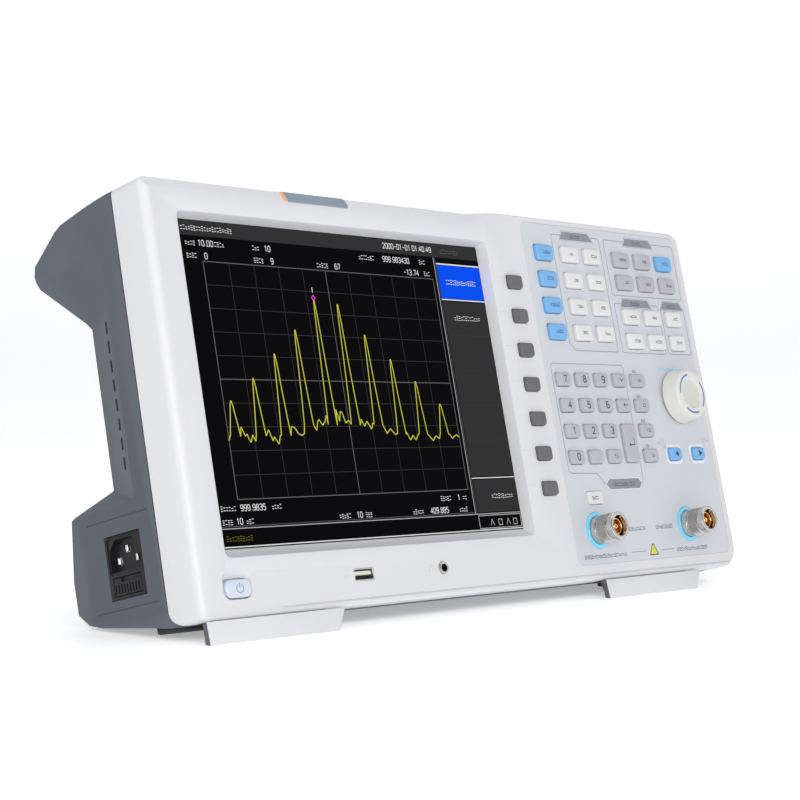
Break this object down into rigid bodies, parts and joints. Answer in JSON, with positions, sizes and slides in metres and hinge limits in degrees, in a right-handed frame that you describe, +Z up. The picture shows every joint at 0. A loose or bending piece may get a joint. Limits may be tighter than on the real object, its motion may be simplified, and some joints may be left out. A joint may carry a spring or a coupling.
{
  "type": "spectrum analyser",
  "caption": "Bench spectrum analyser with a white front bezel, wide screen, key panel, knob, N connectors, grey rear case with carry bar, mains inlet and fold-out front feet.",
  "frame": {"origin": "centre of the footprint of the instrument's bounding box, on the surface it stands on", "axes": "+X to the right seen from the front, +Y to the rear, +Z up; the body leans back 12.5 degrees on its deployed front feet"},
  "size_m": [0.421, 0.1408, 0.2153],
  "materials": {
    "bezel_white": "fine textured white moulding",
    "case_grey": "fine textured slate grey moulding",
    "overlay": "printed satin film",
    "screen_glass": "anti-glare screen face",
    "sheet_metal": "pressed frame",
    "circuit_board": "solder mask",
    "rf_shield": "milled case",
    "black_plastic": "moulded",
    "silicone": "silicone",
    "knob_ivory": "satin ivory",
    "nickel": "nickel plate",
    "ring_cyan": "translucent light ring",
    "fuse_glass": "glass tube with metal caps",
    "foot_white": "moulded",
    "rubber_black": "rubber",
    "screw_steel": "zinc plate",
    "trim_grey": "satin label",
    "button_pale": "pale blue translucent",
    "key_white": "silicone key cap",
    "key_dark": "silicone key cap",
    "key_blue": "silicone key cap",
    "key_grey": "silicone key cap"
  },
  "bodies": {
    "chassis": {"front_bezel": "bezel_white", "rear_case": "case_grey", "carry_bar": "case_grey", "rear_skirt": "case_grey", "panel_overlay": "overlay", "display_window": "screen_glass", "lcd_module": "sheet_metal", "chassis_plate": "sheet_metal", "main_board": "circuit_board", "rf_module": "rf_shield", "power_supply": "circuit_board", "fan_frame": "black_plastic", "front_boards": "circuit_board", "keypad_mat": "silicone", "encoder_body": "sheet_metal", "rf_input_connector": "nickel", "tg_output_connector": "nickel", "connector_rings": "ring_cyan", "usb_port": "nickel", "audio_jack": "nickel", "ac_inlet": "black_plastic", "foot_pins": "sheet_metal", "rubber_feet": "rubber_black", "rear_bnc_connectors": "nickel", "rear_data_ports": "rubber_black", "case_screws": "screw_steel", "trim_strip": "trim_grey"},
    "knob": {"knob": "knob_ivory", "encoder_shaft": "sheet_metal"},
    "foot_left": {"foot_left": "foot_white"},
    "foot_right": {"foot_right": "foot_white"},
    "fuse_drawer": {"fuse_drawer": "black_plastic", "fuses": "fuse_glass"},
    "fan_rotor": {"fan_rotor": "black_plastic"},
    "power_button": {"power_button": "button_pale"},
    "tg_key": {"tg_key": "key_white"},
    "softkey_1": {"softkey_1": "key_dark"},
    "softkey_2": {"softkey_2": "key_dark"},
    "softkey_3": {"softkey_3": "key_dark"},
    "softkey_4": {"softkey_4": "key_dark"},
    "softkey_5": {"softkey_5": "key_dark"},
    "softkey_6": {"softkey_6": "key_dark"},
    "softkey_7": {"softkey_7": "key_dark"},
    "function_key_1": {"function_key_1": "key_blue"},
    "function_key_2": {"function_key_2": "key_blue"},
    "function_key_3": {"function_key_3": "key_blue"},
    "function_key_4": {"function_key_4": "key_blue"},
    "preset_key": {"preset_key": "key_blue"},
    "enter_key": {"enter_key": "key_grey"},
    "arrow_key_left": {"arrow_key_left": "key_blue"},
    "arrow_key_right": {"arrow_key_right": "key_blue"},
    "control_keys": {"control_keys": "key_white"},
    "utility_keys": {"utility_keys": "key_grey"},
    "marker_keys": {"marker_keys": "key_white"},
    "measure_keys": {"measure_keys": "key_white"},
    "number_row_1": {"number_row_1": "key_grey"},
    "number_row_2": {"number_row_2": "key_grey"},
    "number_row_3": {"number_row_3": "key_grey"},
    "number_row_4": {"number_row_4": "key_grey"},
    "unit_keys": {"unit_keys": "key_grey"}
  },
  "joints": [
    {"name": "knob_turn", "type": "hinge", "parent": "chassis", "child": "knob", "pos_m": [0.1797, -0.03661, 0.11242], "axis": [0, -0.9763, 0.2164], "continuous": true},
    {"name": "foot_left_fold", "type": "hinge", "parent": "chassis", "child": "foot_left", "pos_m": [-0.16875, -0.05339, 0.01269], "axis": [1, 0, 0], "range_deg": [0, 90]},
    {"name": "foot_right_fold", "type": "hinge", "parent": "chassis", "child": "foot_right", "pos_m": [0.121, -0.05339, 0.01269], "axis": [1, 0, 0], "range_deg": [0, 90]},
    {"name": "fuse_drawer_slide", "type": "slide", "parent": "chassis", "child": "fuse_drawer", "axis": [-1, 0, 0], "range_m": [0, 0.018]},
    {"name": "fan_spin", "type": "hinge", "parent": "chassis", "child": "fan_rotor", "pos_m": [0.13, 0.01381, 0.10882], "axis": [0, 0.9763, -0.2164], "continuous": true},
    {"name": "power_button_press", "type": "slide", "parent": "chassis", "child": "power_button", "axis": [0, 0.9763, -0.2164], "range_m": [0, 0.0012], "stiffness_N_per_m": 900, "springref_m": -0.0008},
    {"name": "tg_key_press", "type": "slide", "parent": "chassis", "child": "tg_key", "axis": [0, 0.9763, -0.2164], "range_m": [0, 0.001], "stiffness_N_per_m": 900, "springref_m": -0.0008},
    {"name": "softkey_1_press", "type": "slide", "parent": "chassis", "child": "softkey_1", "axis": [0, 0.9763, -0.2164], "range_m": [0, 0.001], "stiffness_N_per_m": 900, "springref_m": -0.0008},
    {"name": "softkey_2_press", "type": "slide", "parent": "chassis", "child": "softkey_2", "axis": [0, 0.9763, -0.2164], "range_m": [0, 0.001], "stiffness_N_per_m": 900, "springref_m": -0.0008},
    {"name": "softkey_3_press", "type": "slide", "parent": "chassis", "child": "softkey_3", "axis": [0, 0.9763, -0.2164], "range_m": [0, 0.001], "stiffness_N_per_m": 900, "springref_m": -0.0008},
    {"name": "softkey_4_press", "type": "slide", "parent": "chassis", "child": "softkey_4", "axis": [0, 0.9763, -0.2164], "range_m": [0, 0.001], "stiffness_N_per_m": 900, "springref_m": -0.0008},
    {"name": "softkey_5_press", "type": "slide", "parent": "chassis", "child": "softkey_5", "axis": [0, 0.9763, -0.2164], "range_m": [0, 0.001], "stiffness_N_per_m": 900, "springref_m": -0.0008},
    {"name": "softkey_6_press", "type": "slide", "parent": "chassis", "child": "softkey_6", "axis": [0, 0.9763, -0.2164], "range_m": [0, 0.001], "stiffness_N_per_m": 900, "springref_m": -0.0008},
    {"name": "softkey_7_press", "type": "slide", "parent": "chassis", "child": "softkey_7", "axis": [0, 0.9763, -0.2164], "range_m": [0, 0.001], "stiffness_N_per_m": 900, "springref_m": -0.0008},
    {"name": "function_key_1_press", "type": "slide", "parent": "chassis", "child": "function_key_1", "axis": [0, 0.9763, -0.2164], "range_m": [0, 0.001], "stiffness_N_per_m": 900, "springref_m": -0.0008},
    {"name": "function_key_2_press", "type": "slide", "parent": "chassis", "child": "function_key_2", "axis": [0, 0.9763, -0.2164], "range_m": [0, 0.001], "stiffness_N_per_m": 900, "springref_m": -0.0008},
    {"name": "function_key_3_press", "type": "slide", "parent": "chassis", "child": "function_key_3", "axis": [0, 0.9763, -0.2164], "range_m": [0, 0.001], "stiffness_N_per_m": 900, "springref_m": -0.0008},
    {"name": "function_key_4_press", "type": "slide", "parent": "chassis", "child": "function_key_4", "axis": [0, 0.9763, -0.2164], "range_m": [0, 0.001], "stiffness_N_per_m": 900, "springref_m": -0.0008},
    {"name": "preset_key_press", "type": "slide", "parent": "chassis", "child": "preset_key", "axis": [0, 0.9763, -0.2164], "range_m": [0, 0.001], "stiffness_N_per_m": 900, "springref_m": -0.0008},
    {"name": "enter_key_press", "type": "slide", "parent": "chassis", "child": "enter_key", "axis": [0, 0.9763, -0.2164], "range_m": [0, 0.001], "stiffness_N_per_m": 900, "springref_m": -0.0008},
    {"name": "arrow_key_left_press", "type": "slide", "parent": "chassis", "child": "arrow_key_left", "axis": [0, 0.9763, -0.2164], "range_m": [0, 0.001], "stiffness_N_per_m": 900, "springref_m": -0.0008},
    {"name": "arrow_key_right_press", "type": "slide", "parent": "chassis", "child": "arrow_key_right", "axis": [0, 0.9763, -0.2164], "range_m": [0, 0.001], "stiffness_N_per_m": 900, "springref_m": -0.0008},
    {"name": "control_keys_press", "type": "slide", "parent": "chassis", "child": "control_keys", "axis": [0, 0.9763, -0.2164], "range_m": [0, 0.001], "stiffness_N_per_m": 900, "springref_m": -0.0008},
    {"name": "utility_keys_press", "type": "slide", "parent": "chassis", "child": "utility_keys", "axis": [0, 0.9763, -0.2164], "range_m": [0, 0.001], "stiffness_N_per_m": 900, "springref_m": -0.0008},
    {"name": "marker_keys_press", "type": "slide", "parent": "chassis", "child": "marker_keys", "axis": [0, 0.9763, -0.2164], "range_m": [0, 0.001], "stiffness_N_per_m": 900, "springref_m": -0.0008},
    {"name": "measure_keys_press", "type": "slide", "parent": "chassis", "child": "measure_keys", "axis": [0, 0.9763, -0.2164], "range_m": [0, 0.001], "stiffness_N_per_m": 900, "springref_m": -0.0008},
    {"name": "number_row_1_press", "type": "slide", "parent": "chassis", "child": "number_row_1", "axis": [0, 0.9763, -0.2164], "range_m": [0, 0.001], "stiffness_N_per_m": 900, "springref_m": -0.0008},
    {"name": "number_row_2_press", "type": "slide", "parent": "chassis", "child": "number_row_2", "axis": [0, 0.9763, -0.2164], "range_m": [0, 0.001], "stiffness_N_per_m": 900, "springref_m": -0.0008},
    {"name": "number_row_3_press", "type": "slide", "parent": "chassis", "child": "number_row_3", "axis": [0, 0.9763, -0.2164], "range_m": [0, 0.001], "stiffness_N_per_m": 900, "springref_m": -0.0008},
    {"name": "number_row_4_press", "type": "slide", "parent": "chassis", "child": "number_row_4", "axis": [0, 0.9763, -0.2164], "range_m": [0, 0.001], "stiffness_N_per_m": 900, "springref_m": -0.0008},
    {"name": "unit_keys_press", "type": "slide", "parent": "chassis", "child": "unit_keys", "axis": [0, 0.9763, -0.2164], "range_m": [0, 0.001], "stiffness_N_per_m": 900, "springref_m": -0.0008}
  ]
}
